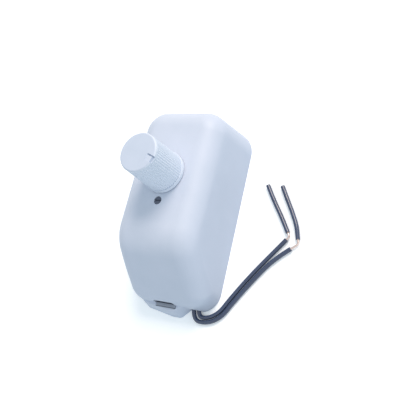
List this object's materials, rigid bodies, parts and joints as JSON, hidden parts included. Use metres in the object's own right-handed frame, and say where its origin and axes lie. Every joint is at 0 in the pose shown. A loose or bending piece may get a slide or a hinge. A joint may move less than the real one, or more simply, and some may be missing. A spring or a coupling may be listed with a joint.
{
  "type": "surface-mounted dimmer",
  "caption": "Elongated surface-mounted rotary dimmer with a deep rounded cover, a ribbed knob, a release slot and two black leads from a notch at its lower edge.",
  "frame": {"origin": "middle of the housing's outline with its lip, on the plane of the mounting face, taken without the leads", "axes": "+Z out of the mounting face towards the knob, +Y along the housing away from the lead notch, +X to the right seen from the knob side with +Y up"},
  "size_m": [0.091, 0.1106, 0.0679],
  "materials": {
    "cover_plastic": "satin moulded, very pale blue white",
    "base_plastic": "satin moulded",
    "knob_plastic": "satin moulded, ribbed skirt",
    "pointer_plastic": "plain white",
    "lead_insulation": "soft black insulation",
    "copper": "bare drawn copper",
    "steel": "zinc plated",
    "turned_brass": "turned brass",
    "heat_sink_metal": "folded sheet",
    "board_laminate": "phenolic paper board",
    "dark_plastic": "moulded",
    "carbon_track": "printed carbon",
    "film_case": "dipped film capacitor case",
    "resistor_coat": "lacquered",
    "ferrite": "sintered core",
    "fuse_glass": "clear tube",
    "solder": "tin solder"
  },
  "bodies": {
    "housing": {"housing_cover": "cover_plastic", "base_plate": "base_plastic", "cover_screw": "steel", "control_bushing": "turned_brass", "control_body": "steel", "control_wafer": "dark_plastic", "control_track": "carbon_track", "control_terminals": "steel", "control_washer": "steel", "control_nut": "steel", "circuit_board": "board_laminate", "board_screws": "steel", "choke_core": "ferrite", "choke_winding": "copper", "filter_capacitor": "film_case", "timing_capacitor": "film_case", "resistors": "resistor_coat", "diac": "resistor_coat", "heat_sink": "heat_sink_metal", "triac": "dark_plastic", "heat_sink_screw": "steel", "heat_sink_nut": "steel", "fuse_caps": "steel", "fuse_glass": "fuse_glass", "fuse_wire": "steel", "fuse_clips": "steel", "solder_joints": "solder", "lead_clamp": "dark_plastic", "lead_clamp_screws": "steel", "lead_outer": "lead_insulation", "lead_inner": "lead_insulation", "slug_outer": "lead_insulation", "slug_inner": "lead_insulation", "copper_outer": "copper", "copper_inner": "copper"},
    "knob": {"knob": "knob_plastic", "knob_pointer": "pointer_plastic", "knob_clip": "steel", "control_shaft": "turned_brass", "control_rotor": "dark_plastic", "control_wiper": "steel"}
  },
  "joints": [
    {"name": "knob_turn", "type": "hinge", "parent": "housing", "child": "knob", "pos_m": [0, 0.0156, 0.04051], "axis": [0, 0.0558, 0.9984], "range_deg": [-40, 260]}
  ]
}
